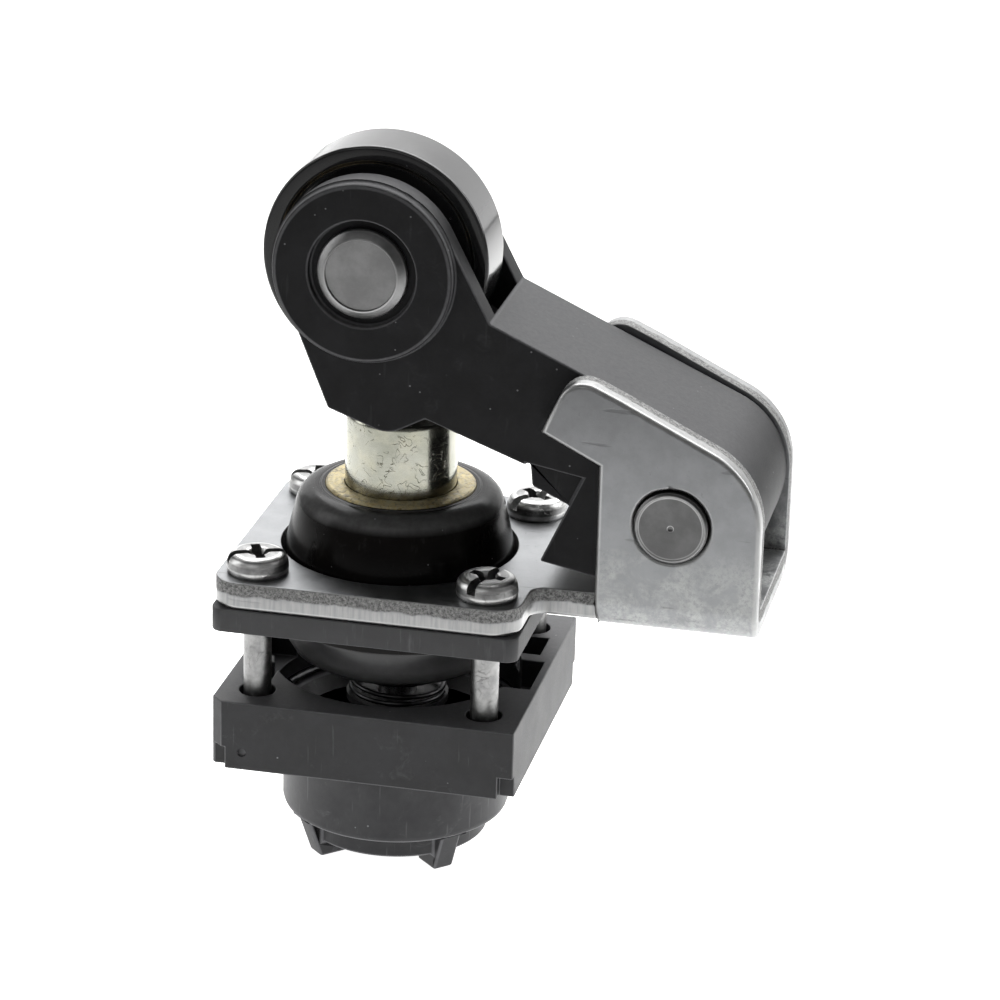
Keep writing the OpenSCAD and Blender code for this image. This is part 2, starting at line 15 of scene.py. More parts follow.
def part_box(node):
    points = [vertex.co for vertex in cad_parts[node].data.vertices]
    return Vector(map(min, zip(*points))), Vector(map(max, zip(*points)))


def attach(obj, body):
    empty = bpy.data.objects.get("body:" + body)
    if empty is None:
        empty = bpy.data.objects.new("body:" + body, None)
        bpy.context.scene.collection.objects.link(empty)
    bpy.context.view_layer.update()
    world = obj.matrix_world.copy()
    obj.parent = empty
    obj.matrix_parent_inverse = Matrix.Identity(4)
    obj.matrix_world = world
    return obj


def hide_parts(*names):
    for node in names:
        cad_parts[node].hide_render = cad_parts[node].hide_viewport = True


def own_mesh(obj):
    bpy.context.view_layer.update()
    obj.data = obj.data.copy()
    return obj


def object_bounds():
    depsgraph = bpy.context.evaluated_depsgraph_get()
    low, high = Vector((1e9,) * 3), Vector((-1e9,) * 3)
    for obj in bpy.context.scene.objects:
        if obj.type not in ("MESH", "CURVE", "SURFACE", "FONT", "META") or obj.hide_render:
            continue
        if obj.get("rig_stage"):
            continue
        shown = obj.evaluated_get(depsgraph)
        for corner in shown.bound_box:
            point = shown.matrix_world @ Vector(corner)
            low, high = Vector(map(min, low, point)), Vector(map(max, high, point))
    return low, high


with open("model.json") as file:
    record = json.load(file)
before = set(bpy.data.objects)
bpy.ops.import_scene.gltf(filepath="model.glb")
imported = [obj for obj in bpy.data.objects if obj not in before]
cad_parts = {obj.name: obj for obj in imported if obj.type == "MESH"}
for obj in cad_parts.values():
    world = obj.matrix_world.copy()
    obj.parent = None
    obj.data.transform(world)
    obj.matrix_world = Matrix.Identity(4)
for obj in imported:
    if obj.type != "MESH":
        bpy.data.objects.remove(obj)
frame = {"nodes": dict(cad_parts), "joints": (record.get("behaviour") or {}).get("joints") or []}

LOG = logging.getLogger("switch_head")
MM = 0.001

Thing = bpy.types.Object
Point = tuple[float, float]
Corner = tuple[float, float, float]
Place = tuple[float, float, float]
Colour = tuple[float, float, float]


def grey(tone: float, blue: float = 0.0) -> Colour:
    """A grey, with its blue lifted or lowered a little."""
    return tone, tone, tone + blue


class Body(Enum):
    """The bodies of the frame that pieces ride on."""

    BASE = "base"
    HEAD = "head"
    LEVER = "lever"
    ROLLER = "roller"
    PLUNGER = "plunger"


class Axis(Enum):
    """The axis that a turned piece is turned round."""

    UPRIGHT = "Z"
    CROSSWISE = "Y"


# --- places


@dataclass(frozen=True)
class Box:
    """A CAD node's box at rest, in millimetres."""

    low: Place
    high: Place

    @classmethod
    def of(cls, node: str) -> "Box":
        """Reads the box of a CAD node, in millimetres."""
        low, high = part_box(node)
        return cls(tuple(v / MM for v in low), tuple(v / MM for v in high))

    @property
    def centre(self) -> Place:
        """The middle of the box."""
        return tuple((a + b) / 2 for a, b in zip(self.low, self.high))

    def size(self, axis: int) -> float:
        """The box's length along an axis, 0 for X to 2 for Z."""
        return self.high[axis] - self.low[axis]


# --- shader maths


class Signal:
    """A shader socket that works in Python expressions."""

    def __init__(self, paint: "Paint", socket: bpy.types.NodeSocket) -> None:
        """Wraps a socket of a paint's node tree."""
        self.paint = paint
        self.socket = socket

    def _maths(self, operation: str, *values: "Signal | float") -> "Signal":
        """Adds one Math node."""
        return self.paint.node("ShaderNodeMath", {"operation": operation}, dict(enumerate(values)))

    def __add__(self, other: "Signal | float") -> "Signal":
        """Sum."""
        return self._maths("ADD", self, other)

    __radd__ = __add__

    def __mul__(self, other: "Signal | float") -> "Signal":
        """Product."""
        return self._maths("MULTIPLY", self, other)

    __rmul__ = __mul__

    def __sub__(self, other: "Signal | float") -> "Signal":
        """Difference."""
        return self._maths("SUBTRACT", self, other)

    def __rsub__(self, other: float) -> "Signal":
        """Difference with the number first."""
        return self._maths("SUBTRACT", other, self)

    def __truediv__(self, other: "Signal | float") -> "Signal":
        """Quotient."""
        return self._maths("DIVIDE", self, other)

    def __abs__(self) -> "Signal":
        """Absolute value."""
        return self._maths("ABSOLUTE", self)

    def at_least(self, other: "Signal | float") -> "Signal":
        """The larger of the two."""
        return self._maths("MAXIMUM", self, other)

    def root(self) -> "Signal":
        """Square root."""
        return self._maths("SQRT", self)

    def step(self, low: float, high: float) -> "Signal":
        """A smooth ramp from 0 at low to 1 at high, either way round."""
        values = {0: self, 1: low, 2: high, 3: 0.0, 4: 1.0}
        return self.paint.node("ShaderNodeMapRange", {"interpolation_type": "SMOOTHSTEP"}, values)


class Paint:
    """One material's node tree, with patterns measured in millimetres."""

    SPECKED_CELLS = (0.62, 0.7)
    SPECK_CORE = 0.6

    def __init__(self, name: str) -> None:
        """Makes an empty material.

        Args:
            name: The material's name.
        """
        self.material = bpy.data.materials.new(name)
        self.material.use_nodes = True
        self.tree = self.material.node_tree
        self.tree.nodes.clear()
        coordinates = self.tree.nodes.new("ShaderNodeTexCoord")
        self.place = self.node(
            "ShaderNodeVectorMath",
            {"operation": "SCALE"},
            {0: Signal(self, coordinates.outputs["Object"]), "Scale": 1 / MM},
        )
        self.normal = Signal(self, coordinates.outputs["Normal"])

    def node(
        self,
        kind: str,
        settings: dict[str, object] | None = None,
        values: dict[int | str, object] | None = None,
        output: int | str = 0,
    ) -> Signal:
        """Adds a node.

        Args:
            kind: The node's type.
            settings: Its settings, which are set first.
            values: Numbers or signals for its input sockets, by index or name.
            output: The output that is returned.

        Returns:
            The chosen output as a signal.
        """
        made = self.tree.nodes.new(kind)
        for key, value in (settings or {}).items():
            setattr(made, key, value)
        for key, value in (values or {}).items():
            if isinstance(value, Signal):
                self.tree.links.new(value.socket, made.inputs[key])
            else:
                made.inputs[key].default_value = value
        return Signal(self, made.outputs[output])

    def stretched(self, x: float, y: float, z: float) -> Signal:
        """The place in millimetres with each axis scaled, for streaks."""
        return self.node("ShaderNodeVectorMath", {"operation": "MULTIPLY"}, {0: self.place, 1: (x, y, z)})

    def centred(self, centre: Place) -> Signal:
        """The place in millimetres measured from a centre."""
        return self.node("ShaderNodeVectorMath", {"operation": "SUBTRACT"}, {0: self.place, 1: centre})

    def split(self, vector: Signal) -> tuple[Signal, Signal, Signal]:
        """The three components of a vector."""
        made = self.tree.nodes.new("ShaderNodeSeparateXYZ")
        self.tree.links.new(vector.socket, made.inputs[0])
        return tuple(Signal(self, out) for out in made.outputs)

    def noise(
        self,
        size: float,
        detail: float = 3,
        rough: float = 0.55,
        at: Signal | None = None,
        warp: float = 0,
    ) -> Signal:
        """Cloudy noise from 0 to 1, with patches of a size in millimetres and finer layers over them."""
        layers = {"Detail": detail, "Roughness": rough, "Distortion": warp}
        return self.node("ShaderNodeTexNoise", {}, {"Vector": at or self.place, "Scale": 1 / size, **layers})

    def specks(self, spacing: float, radius: float, at: Signal | None = None) -> Signal:
        """Small round specks, 1 inside and 0 outside.

        Args:
            spacing: The distance between specks in millimetres.
            radius: Their radius as a share of the spacing.
            at: The coordinates, or the place itself.

        Returns:
            The mask.
        """
        cells = {"Vector": at or self.place, "Scale": 1 / spacing}
        near = self.node("ShaderNodeTexVoronoi", {}, cells, "Distance")
        kept = self.node("ShaderNodeTexVoronoi", {}, cells, "Color")
        chosen = self.split(kept)[0].step(*self.SPECKED_CELLS)
        return near.step(radius, radius * self.SPECK_CORE) * chosen

    def blend(self, share: Signal | float, first: Signal | Colour, second: Signal | Colour) -> Signal:
        """Mixes two colours.

        Args:
            share: 0 gives the first and 1 the second.
            first: A colour or a colour signal.
            second: A colour or a colour signal.

        Returns:
            The mixed colour.
        """
        ends = {6: first, 7: second}
        values = {k: v if isinstance(v, Signal) else (*v, 1) for k, v in ends.items()}
        return self.node("ShaderNodeMix", {"data_type": "RGBA"}, {0: share, **values}, 2)

    def edges(self) -> Signal:
        """The piece's own map of its rounded edges, 1 on them and 0 elsewhere."""
        return self.node("ShaderNodeAttribute", {"attribute_name": "edge"}, {}, "Fac")

    def surface(self, look: "Look", extra: dict[str, float]) -> None:
        """Joins a look to the shader and the material's output.

        Args:
            look: The finished look.
            extra: Plain numbers for the shader's other sockets.
        """
        relief = {"Strength": 1.0, "Distance": MM, "Height": look.height}
        values = {
            "Base Color": look.colour,
            "Roughness": look.roughness,
            "Metallic": look.metallic,
            "Normal": self.node("ShaderNodeBump", {}, relief, "Normal"),
            **extra,
        }
        shader = self.node("ShaderNodeBsdfPrincipled", {}, values)
        end = self.tree.nodes.new("ShaderNodeOutputMaterial")
        self.tree.links.new(shader.socket, end.inputs["Surface"])


@dataclass
class Look:
    """What a finish has worked out so far for a surface."""

    paint: Paint
    colour: Signal
    roughness: Signal
    metallic: Signal | float
    height: Signal

    def tint(self, share: Signal | float, colour: Signal | Colour) -> None:
        """Lays a share of a colour over the look's own."""
        self.colour = self.paint.blend(share, self.colour, colour)


# --- finishes


@dataclass(frozen=True)
class Finish:
    """A surface finish: a base of cloudy patches and grain, with edges lightened by wear and by a painted
    highlight, and settled dust.

    Sizes are in millimetres, and heights are real heights.
    """

    DUSTY_SLOPE: ClassVar[float] = 0.35
    DUST_ROUGHNESS: ClassVar[float] = 0.15
    SPECK_SPACING: ClassVar[float] = 1.3
    SPECK_RADIUS: ClassVar[float] = 0.09

    name: str
    colour: Colour
    patch: Colour
    metallic: float = 0.0
    roughness: float = 0.5
    rough_spread: float = 0.1
    patch_size: float = 4.0
    grain_size: float = 0.25
    grain_height: float = 0.006
    edge_colour: Colour = grey(0.2)
    edge_share: float = 0.0
    dust: float = 0.0
    dust_colour: Colour = grey(0.32, 0.01)
    speck_share: float = 0.0
    coat: float = 0.0
    coat_roughness: float = 0.1
    specular: float = 0.5

    def material(self) -> bpy.types.Material:
        """Builds the finish as a material.

        Returns:
            The material, ready to assign.
        """
        paint = Paint(self.name)
        cloud = paint.noise(self.patch_size, 5, 0.6)
        grain = paint.noise(self.grain_size, 3, 0.6)
        uneven = (cloud - 0.5) * (2 * self.rough_spread) + (grain - 0.5) * self.rough_spread
        look = Look(
            paint=paint,
            colour=paint.blend(cloud.step(0.3, 0.72), self.colour, self.patch),
            roughness=self.roughness + uneven,
            metallic=self.metallic,
            height=grain * self.grain_height,
        )
        self.refine(paint, look)
        if self.dust:
            up = paint.split(paint.normal)[2].step(self.DUSTY_SLOPE, 1.0)
            settled = up * (0.45 + 0.55 * paint.noise(0.5, 4, 0.7)) * self.dust
            look.tint(settled, self.dust_colour)
            look.roughness += settled * self.DUST_ROUGHNESS
        if self.speck_share:
            specks = paint.specks(self.SPECK_SPACING, self.SPECK_RADIUS)
            look.tint(specks * self.speck_share, self.dust_colour)
        if self.edge_share:
            # edge wear and painted highlight: the rounded edges are lightened towards the edge colour
            edge_wear_and_highlight = paint.edges() * (0.5 + paint.noise(1.1, 4, 0.7)) * self.edge_share
            look.tint(edge_wear_and_highlight, self.edge_colour)
        coat = {"Coat Weight": self.coat, "Coat Roughness": self.coat_roughness}
        paint.surface(look, {**coat, "Specular IOR Level": self.specular})
        return paint.material

    def refine(self, paint: Paint, look: Look) -> None:
        """Adds what is special to a finish. The base finish adds nothing."""


@dataclass(frozen=True)
class MouldedPlastic(Finish):
    """Moulded plastic with scuffs, flow marks and fine scratches."""

    scuff: float = 0.3

    def refine(self, paint: Paint, look: Look) -> None:
        """Adds pale scuffs and fine scratches to the base."""
        rubbed = paint.noise(2.6, 6, 0.72, warp=0.6).step(0.56, 0.74) * self.scuff
        scratch = paint.noise(0.5, 2, 0.5, at=paint.stretched(1, 1, 0.08)).step(0.66, 0.72) * self.scuff
        look.tint(rubbed * 0.5 + scratch * 0.35, self.edge_colour)
        look.roughness += rubbed * 0.14
        look.height -= scratch * 0.006


@dataclass(frozen=True)
class PlatedSheet(Finish):
    """Zinc-plated sheet, bent up from a plate, with sheared edges that show a smooth and a torn zone."""

    sheet: float = 2.8
    bend_x: float = 21.4
    bend_y: float = 7.5
    bend_z: float = 19.8
    bend_radius: float = 0.4
    torn: Colour = grey(0.06)
    smooth: Colour = grey(0.27, -0.005)
    bloom: Colour = (0.5, 0.51, 0.5)

    def refine(self, paint: Paint, look: Look) -> None:
        """Adds the sheared edges, plating bloom, stains, handling marks and a painted shade towards the top
        of the cheeks.
        """
        x, y, z = paint.split(paint.place)
        _, ny, nz = paint.split(paint.normal)
        behind = x.step(self.bend_x - 0.08, self.bend_x - 0.04)
        beside = behind.at_least(z.step(self.bend_z + 0.4, self.bend_z + 0.8))
        side = (abs(y) - self.bend_y).at_least(0.0) * beside
        below = (self.bend_z - z).at_least(0.0)
        radius = (side * side + below * below).root().at_least(0.001)
        depth = (self.bend_radius + self.sheet - radius) / self.sheet
        facing = abs((abs(ny) * side + nz * below * -1.0) / radius)
        sheared = facing.step(0.62, 0.3)
        ragged = depth + (paint.noise(1.6, 5, 0.6) - 0.5) * 0.34
        torn = sheared * ragged.step(0.5, 0.58)
        clean = sheared * ragged.step(0.56, 0.48)
        crumbs = paint.noise(0.3, 5, 0.8)
        streak = paint.noise(0.35, 3, 0.6, at=paint.stretched(1.0, 1.0, 0.1))
        torn_colour = paint.blend(crumbs.step(0.34, 0.68), self.torn, self.smooth)
        smooth_colour = paint.blend(streak.step(0.3, 0.75), self.smooth, self.colour)
        cloud = paint.noise(3.2, 6, 0.68, warp=0.8)
        lower = z.step(27.0, 20.5) * x.step(self.bend_x - 1, self.bend_x + 2)
        bloomed = cloud.step(0.36, 0.6) * lower + cloud.step(0.66, 0.84) * 0.3
        powder = bloomed * paint.noise(0.45, 6, 0.85).step(0.38, 0.58)
        stain = paint.noise(0.9, 5, 0.75, warp=1.2).step(0.6, 0.74)
        line = paint.noise(0.7, 2, 0.4, at=paint.stretched(0.12, 1, 1)).step(0.69, 0.73)
        look.tint(powder * 0.75, self.bloom)
        look.tint(stain * 0.3 + line * 0.35, self.torn)
        # painted shade: the sheet grows darker towards the top of the cheeks, mixed towards the torn colour
        look.tint(z.step(28, 42) * 0.42, self.torn)
        look.tint(torn, torn_colour)
        look.tint(clean, smooth_colour)
        look.metallic = 1.0 - powder * 0.5 - torn * 0.35
        look.roughness = look.roughness + powder * 0.2 + torn * 0.22 - clean * 0.08 + stain * 0.08
        look.height = look.height + torn * crumbs * 0.05 + clean * streak * 0.012 - line * 0.006
        look.height = look.height + cloud * 0.012 - torn * 0.02


@dataclass(frozen=True)
class TurnedMetal(Finish):
    """Metal turned on a lathe, with fine rings round its axis."""

    axis: Axis = Axis.UPRIGHT
    centre: Place = (0.0, 0.0, 0.0)
    ring_size: float = 0.16
    ring_height: float = 0.003
    smear: float = 0.0
    smear_colour: Colour = (0.1, 0.09, 0.06)

    def refine(self, paint: Paint, look: Look) -> None:
        """Adds the turning rings and, where it is greased, smears along the axis."""
        x, y, z = paint.split(paint.centred(self.centre))
        first, second, third = (x, z, y) if self.axis is Axis.CROSSWISE else (x, y, z)
        radius = (first * first + second * second).root()
        rings = paint.node("ShaderNodeCombineXYZ", {}, {0: radius, 2: third})
        groove = paint.noise(self.ring_size, 3, 0.6, at=rings)
        look.roughness += (groove - 0.5) * 0.16
        look.height += groove * self.ring_height
        look.tint(groove.step(0.55, 0.8) * 0.25, self.patch)
        if self.smear:
            level = abs(paint.noise(1.3, 2, 0.45, warp=1.1) - 0.5)
            thick = level.step(0.014, 0.004) * paint.noise(2.4, 3, 0.6).step(0.46, 0.58)
            film = paint.noise(2.2, 4, 0.6).step(0.4, 0.7)
            look.tint(thick * self.smear, self.smear_colour)
            look.tint(film * self.smear * 0.5, self.dust_colour)
            look.roughness += film * 0.12 * self.smear
            look.height += thick * 0.02


@dataclass(frozen=True)
class GreasyBrass(Finish):
    """Brass under a granular film of grease."""

    grease: Colour = (0.35, 0.31, 0.19)
    dirt: Colour = (0.06, 0.045, 0.018)

    def refine(self, paint: Paint, look: Look) -> None:
        """Adds lumps of grease with dark dirt between them."""
        lumps = paint.noise(0.42, 5, 0.7, warp=0.5)
        dirt = paint.noise(0.7, 6, 0.8, warp=0.6).step(0.5, 0.64)
        thick = lumps.step(0.42, 0.62)
        look.tint(thick, self.grease)
        look.tint(dirt * 0.8, self.dirt)
        look.metallic = 0.75 - thick * 0.6
        look.height += lumps * 0.09


@dataclass(frozen=True)
class CutRubber(Finish):
    """Rubber sheet with a fine cloth-like grain on its faces and knife marks on its cut edges."""

    def refine(self, paint: Paint, look: Look) -> None:
        """Adds the grain of the faces and the marks of the cut."""
        side = abs(paint.split(paint.normal)[2]).step(0.7, 0.3)
        marks = paint.noise(0.5, 3, 0.6, at=paint.stretched(1, 1, 0.12))
        lint = paint.specks(1.9, 0.06)
        look.height += side * marks * 0.02
        look.tint(side * marks.step(0.55, 0.8) * 0.4 + lint * 0.5, self.edge_colour)


class Finishes(Enum):
    """Every finish of the switch head."""

    BLOCK = MouldedPlastic(
        "block_black", grey(0.013, 0.001), grey(0.022, 0.002), specular=0.3, roughness=0.5, rough_spread=0.1,
        grain_size=0.16, grain_height=0.012, edge_colour=grey(0.14, 0.005), edge_share=0.55, dust=0.25,
        speck_share=0.4, scuff=0.3,
    )
    SPIGOT = MouldedPlastic(
        "spigot_grey", grey(0.02, 0.002), grey(0.038, 0.002), specular=0.3, roughness=0.42,
        rough_spread=0.12, grain_size=0.3, grain_height=0.006, edge_colour=grey(0.2, 0.01), edge_share=0.5,
        speck_share=0.5, scuff=0.5,
    )
    PLATE = PlatedSheet(
        "zinc_plate", (0.2, 0.204, 0.209), (0.245, 0.25, 0.256), metallic=1.0, roughness=0.41,
        rough_spread=0.1, patch_size=2.2, grain_size=0.14, grain_height=0.006, edge_colour=grey(0.4, -0.005),
        edge_share=0.5,
    )
    GASKET = CutRubber(
        "gasket_rubber", grey(0.016, 0.001), grey(0.028, 0.002), roughness=0.62, grain_size=0.12,
        grain_height=0.012, edge_colour=grey(0.11, 0.005), edge_share=0.5, dust=0.15,
    )
    # painted shade: this gloss black is darker, and its specular lower, than the roller's, standing for the
    # shade under the lever
    COLLAR = MouldedPlastic(
        "collar_gloss", (0.0035, 0.003, 0.0028), (0.006, 0.0052, 0.0048), specular=0.06, roughness=0.24,
        rough_spread=0.05, grain_size=0.9, grain_height=0.003, edge_colour=grey(0.16), edge_share=0.35,
        coat=0.05, coat_roughness=0.1, scuff=0.1, speck_share=0.3,
    )
    CUP = MouldedPlastic(
        "cup_black", grey(0.012, 0.001), grey(0.02, 0.001), roughness=0.32, rough_spread=0.08,
        grain_size=0.5, grain_height=0.004, edge_colour=grey(0.12), edge_share=0.3, scuff=0.25,
    )
    BUSH = GreasyBrass(
        "greased_brass", (0.36, 0.29, 0.14), (0.5, 0.42, 0.23), metallic=0.9, roughness=0.38, grain_size=0.2,
        grain_height=0.01,
    )
    PLAIN_BUSH = TurnedMetal(
        "plain_brass", (0.55, 0.42, 0.2), (0.68, 0.55, 0.3), metallic=1.0, roughness=0.32,
        axis=Axis.CROSSWISE,
    )
    LEVER = MouldedPlastic(
        "lever_black", grey(0.009, 0.0005), grey(0.014, 0.001), specular=0.1, roughness=0.5,
        rough_spread=0.08, grain_size=0.14, grain_height=0.01, edge_colour=grey(0.13, 0.005), edge_share=0.5,
        dust=0.62, dust_colour=grey(0.16, 0.005), speck_share=0.6, scuff=0.12,
    )
    ROLLER = MouldedPlastic(
        "roller_gloss", grey(0.007, 0.001), grey(0.013), roughness=0.16, rough_spread=0.05, grain_size=1.0,
        grain_height=0.004, specular=0.3, edge_colour=grey(0.06), edge_share=0.2, coat=0.35,
        coat_roughness=0.06, scuff=0.12, speck_share=0.4,
    )
    PLUNGER = TurnedMetal(
        "bright_plunger", (0.27, 0.275, 0.23), grey(0.36, -0.045), metallic=1.0, roughness=0.17,
        rough_spread=0.06, patch_size=3.0, smear=0.7, dust_colour=(0.55, 0.52, 0.4),
    )
    SHAFT = TurnedMetal("shaft_steel", grey(0.45, 0.01), grey(0.58, 0.01), metallic=1.0, roughness=0.3)
    SCREW = TurnedMetal(
        "screw_zinc", grey(0.17), grey(0.3, -0.005), metallic=1.0, roughness=0.34, rough_spread=0.12,
        patch_size=1.2, grain_size=0.18, grain_height=0.014, edge_colour=grey(0.8, -0.01), edge_share=0.6,
        ring_height=0.0, smear=0.35, smear_colour=grey(0.1),
    )
    # painted shade: this steel is made near black, standing for the shade in the gap under the cup where the
    # springs sit; every piece with this finish gets it
    WIRE = TurnedMetal(
        "spring_wire", grey(0.06, 0.002), grey(0.12, 0.002), metallic=1.0, roughness=0.36, patch_size=1.5,
    )
    # painted shade: this steel is made near black, standing for the shade in the gap under the cup; the
    # thrust washers share it
    WASHER = TurnedMetal(
        "washer_steel", grey(0.07), grey(0.12, -0.002), metallic=1.0, roughness=0.42, axis=Axis.CROSSWISE,
    )
    NYLON = MouldedPlastic(
        "nylon_grey", grey(0.02, 0.001), grey(0.03, 0.001), roughness=0.45, edge_colour=grey(0.2),
        edge_share=0.2, scuff=0.15,
    )
    SEAL = CutRubber("seal_rubber", grey(0.02), grey(0.03), roughness=0.5, edge_colour=grey(0.1))


@functools.cache
def material_of(finish: Finish) -> bpy.types.Material:
    """The material of a finish, built once."""
    return finish.material()


def burnished(name: str, axis_box: Box, tone: float) -> TurnedMetal:
    """The finish of a dark pin that lies crosswise, with the middle of its box on its axis."""
    return TurnedMetal(
        name, grey(tone), grey(1.4 * tone), metallic=1.0, roughness=0.36, rough_spread=0.08,
        patch_size=2.5, grain_size=0.2, grain_height=0.006, edge_colour=grey(0.34), edge_share=0.6,
        axis=Axis.CROSSWISE, centre=axis_box.centre, ring_size=0.22, ring_height=0.004,
    )


# --- modelling


class Bench:
    """Modelling moves that the pieces share."""

    EDGE_MAP = "edge"

    @staticmethod
    def only(obj: Thing | None) -> None:
        """Deselects everything, then selects and activates one object if it is given."""
        for other in bpy.context.selected_objects:
            other.select_set(False)
        if obj is not None:
            obj.select_set(True)
            bpy.context.view_layer.objects.active = obj

    @staticmethod
    def settle(obj: Thing) -> Thing:
        """Moves an object's place into its mesh.

        Args:
            obj: The object.

        Returns:
            The same object, now at the origin.
        """
        Bench.only(obj)
        bpy.ops.object.transform_apply(location=True, rotation=True, scale=True)
        return obj

    @staticmethod
    def rounded(corners: list[Corner], steps: int = 4) -> tuple[list[Point], list[float]]:
        """Rounds the corners of a closed profile.

        Args:
            corners: (radius, height, rounding) of each corner in order.
            steps: How many faces a rounding gets.

        Returns:
            The profile's points, and for each 1 inside a rounding and 0 elsewhere.
        """
        points: list[Point] = []
        marks: list[float] = []
        count = len(corners)
        for i, (r, z, rounding) in enumerate(corners):
            here = np.array((r, z))
            if not rounding:
                points.append((r, z))
                marks.append(0.0)
                continue
            before, after = (np.array(corners[(i + k) % count][:2]) - here for k in (-1, 1))
            rooms = [
                max(0.48 * np.linalg.norm(way), 0.97 * np.linalg.norm(way) - corners[(i + k) % count][2])
                for way, k in ((before, -1), (after, 1))
            ]
            reach = min(rounding, *rooms)
            start = here + before / np.linalg.norm(before) * reach
            end = here + after / np.linalg.norm(after) * reach
            for k in range(steps + 1):
                t = k / steps
                p = (1 - t) ** 2 * start + 2 * t * (1 - t) * here + t * t * end
                points.append((float(p[0]), float(p[1])))
                marks.append(1.0 if 0 < k < steps else 0.0)
        return points, marks

    @staticmethod
    def turned(
        name: str,
        corners: list[Corner],
        sides: int = 128,
        axis: Axis = Axis.UPRIGHT,
        centre: Place = (0.0, 0.0, 0.0),
    ) -> Thing:
        """Turns a profile, from a circle that is extruded and scaled ring by ring.

        Args:
            name: The piece's name.
            corners: (radius, height, rounding) of each corner. A profile with its ends on the axis is solid.
            sides: How many faces go round.
            axis: The axis that it is turned round.
            centre: Where the profile's zero lies.

        Returns:
            The turned piece.
        """
        solid = corners[0][0] == 0
        points, marks = Bench.rounded(corners[1:-1] if solid else corners)
        if not solid:
            points.append(points[0])
            marks.append(marks[0])
        Bench.only(None)
        radius, height = points[0]
        bpy.ops.mesh.primitive_circle_add(vertices=sides, radius=radius * MM, location=(0, 0, height * MM))
        obj = bpy.context.object
        obj.name = obj.data.name = name
        bpy.ops.object.mode_set(mode="EDIT")
        bpy.ops.mesh.select_all(action="SELECT")
        for (r, z), (next_r, next_z) in zip(points, points[1:]):
            bpy.ops.mesh.extrude_edges_move(TRANSFORM_OT_translate={"value": (0, 0, (next_z - z) * MM)})
            grow = next_r / r
            bpy.ops.transform.resize(value=(grow, grow, 1), center_override=(0, 0, next_z * MM))
        if solid:
            bpy.ops.mesh.edge_face_add()
        bpy.ops.object.mode_set(mode="OBJECT")
        Bench._mark(obj, np.repeat(marks, sides))
        bpy.ops.object.mode_set(mode="EDIT")
        if solid:
            bpy.ops.mesh.select_all(action="DESELECT")
            bpy.ops.mesh.select_non_manifold()
            bpy.ops.mesh.edge_face_add()
        bpy.ops.mesh.select_all(action="SELECT")
        bpy.ops.mesh.remove_doubles(threshold=1e-7)
        bpy.ops.mesh.normals_make_consistent(inside=False)
        bpy.ops.object.mode_set(mode="OBJECT")
        Bench.settle(obj)
        if axis is Axis.CROSSWISE:
            obj.rotation_euler = (math.pi / 2, 0, 0)
        obj.location = Vector(centre) * MM
        Bench.settle(obj)
        return Bench.smooth(obj)

    @staticmethod
    def lying(name: str, side: list[Corner], box: Box, sides: int = 128) -> Thing:
        """Turns a piece that lies crosswise and is the same on both sides.

        Args:
            name: The piece's name.
            side: The corners of one side's profile, starting at the axis or the bore.
            box: The box of its CAD node, whose middle is on its axis.
            sides: How many faces go round.

        Returns:
            The turned piece.
        """
        corners = [(r, -y, rounding) for r, y, rounding in side] + side[::-1]
        return Bench.turned(name, corners, sides, Axis.CROSSWISE, (box.centre[0], 0, box.centre[2]))

    @staticmethod
    def _mark(obj: Thing, values: np.ndarray) -> None:
        """Writes the map of rounded edges on a mesh."""
        maps, name = obj.data.attributes, Bench.EDGE_MAP
        attribute = maps.get(name) or maps.new(name, "FLOAT", "POINT")
        attribute.data.foreach_set("value", np.asarray(values, np.float32))

    @staticmethod
    def copied(name: str, node: str) -> Thing:
        """Copies a CAD node as a clean mesh: merged, and with its flat faces whole.

        Args:
            name: The piece's name.
            node: The CAD node.

        Returns:
            The copy.
        """
        source = frame["nodes"][node]
        obj = bpy.data.objects.new(name, source.data.copy())
        obj.data.name = name
        bpy.context.scene.collection.objects.link(obj)
        for key in [k for k in obj.keys() if k.startswith("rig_")]:
            del obj[key]
        obj.data.materials.clear()
        Bench.only(obj)
        bpy.ops.object.mode_set(mode="EDIT")
        bpy.ops.mesh.select_all(action="SELECT")
        bpy.ops.mesh.remove_doubles(threshold=2e-6)
        bpy.ops.mesh.dissolve_limited(angle_limit=math.radians(0.6))
        bpy.ops.object.mode_set(mode="OBJECT")
        return obj

    @staticmethod
    def bevelled(
        obj: Thing,
        width: float,
        chosen: Callable[[bmesh.types.BMEdge], bool] | None = None,
        steps: int = 3,
        angle: float = 32.0,
    ) -> None:
        """Rounds the sharp edges of a mesh in edit mode, and remembers the faces made.

        Args:
            obj: The object.
            width: The rounding in millimetres.
            chosen: A test for an edge, or every sharp edge.
            steps: How many faces the rounding gets.
            angle: The least angle of a sharp edge, in degrees.
        """
        while len(obj.data.materials) < 2:
            obj.data.materials.append(None)
        Bench.only(obj)
        bpy.ops.object.mode_set(mode="EDIT")
        bpy.ops.mesh.select_mode(type="EDGE")
        bpy.ops.mesh.select_all(action="DESELECT")
        mesh = bmesh.from_edit_mesh(obj.data)
        for edge in mesh.edges:
            sharp = len(edge.link_faces) == 2 and edge.calc_face_angle(0.0) > math.radians(angle)
            fresh = any(face.material_index for face in edge.link_faces)
            edge.select_set(sharp and not fresh and (chosen is None or chosen(edge)))
        mesh.select_flush_mode()
        bmesh.update_edit_mesh(obj.data)
        bpy.ops.mesh.bevel(offset=width * MM, segments=steps, affect="EDGES", clamp_overlap=False, material=1)
        bpy.ops.mesh.select_mode(type="VERT")
        bpy.ops.object.mode_set(mode="OBJECT")

